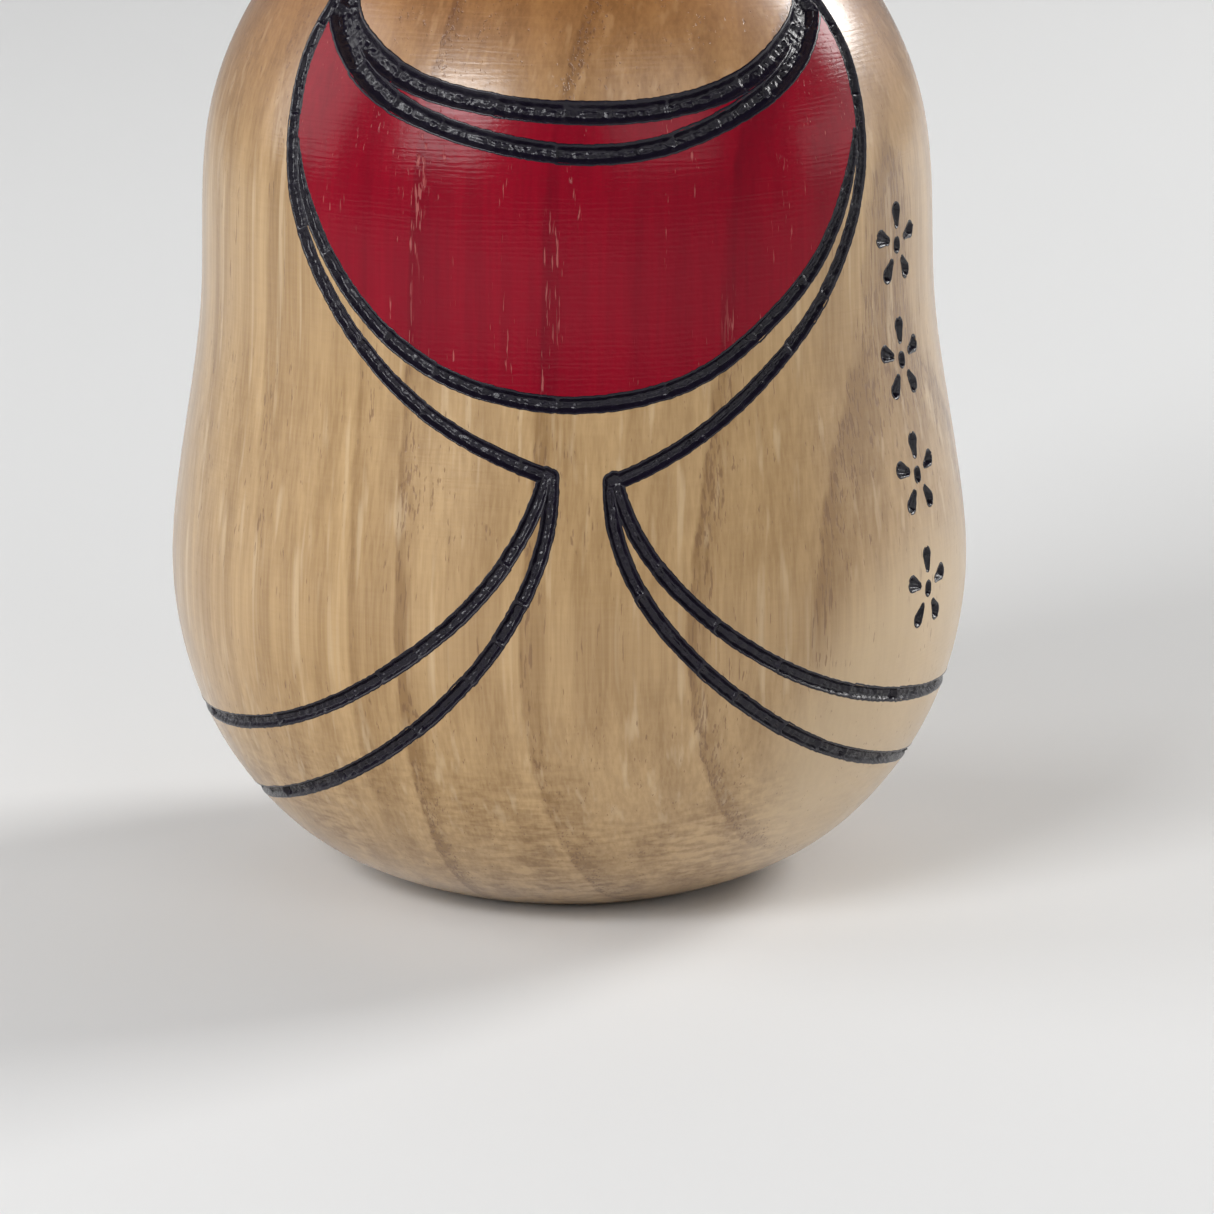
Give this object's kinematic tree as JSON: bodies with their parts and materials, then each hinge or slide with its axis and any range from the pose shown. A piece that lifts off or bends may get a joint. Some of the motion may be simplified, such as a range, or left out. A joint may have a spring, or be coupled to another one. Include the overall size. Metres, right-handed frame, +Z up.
{
  "type": "kokeshi doll",
  "caption": "Turned wooden kokeshi doll of a monk: pear-shaped body with a red bib and carved black lines, and a round head that turns on a neck peg.",
  "frame": {"origin": "on the doll's axis, in the plane that its foot rests on", "axes": "+Z up along the turned axis, the doll's front faces -Y, +X to the right as the front is looked at"},
  "size_m": [0.07, 0.07, 0.1338],
  "materials": {
    "body_wood": "satin varnish over ring-porous hardwood",
    "head_wood": "satin varnish over ring-porous hardwood",
    "peg_wood": "plain turned hardwood",
    "red_stain": "translucent crimson lacquer over wood, glossy",
    "black_lacquer": "blue-black lacquer in a rough carved groove, glossy",
    "red_paint": "opaque red paint, satin"
  },
  "bodies": {
    "torso": {"body": "body_wood", "neck_peg": "peg_wood", "bib_field": "red_stain", "bib_band": "red_stain", "robe_line_left": "black_lacquer", "robe_line_right": "black_lacquer", "collar_line_upper": "black_lacquer", "collar_line_lower": "black_lacquer", "bib_hem_line": "black_lacquer", "sleeve_left_upper_line": "black_lacquer", "sleeve_left_lower_line": "black_lacquer", "sleeve_right_upper_line": "black_lacquer", "sleeve_right_lower_line": "black_lacquer", "side_blossoms": "black_lacquer"},
    "head": {"head": "head_wood", "eye_line_left": "black_lacquer", "eye_line_right": "black_lacquer", "brow_line_left": "black_lacquer", "brow_line_right": "black_lacquer", "nose_line": "black_lacquer", "mouth_paint": "red_paint", "brow_dot": "red_paint"}
  },
  "joints": [
    {"name": "head_turn", "type": "hinge", "parent": "torso", "child": "head", "pos_m": [0, 0, 0.0866], "axis": [0, 0, 1], "continuous": true}
  ]
}
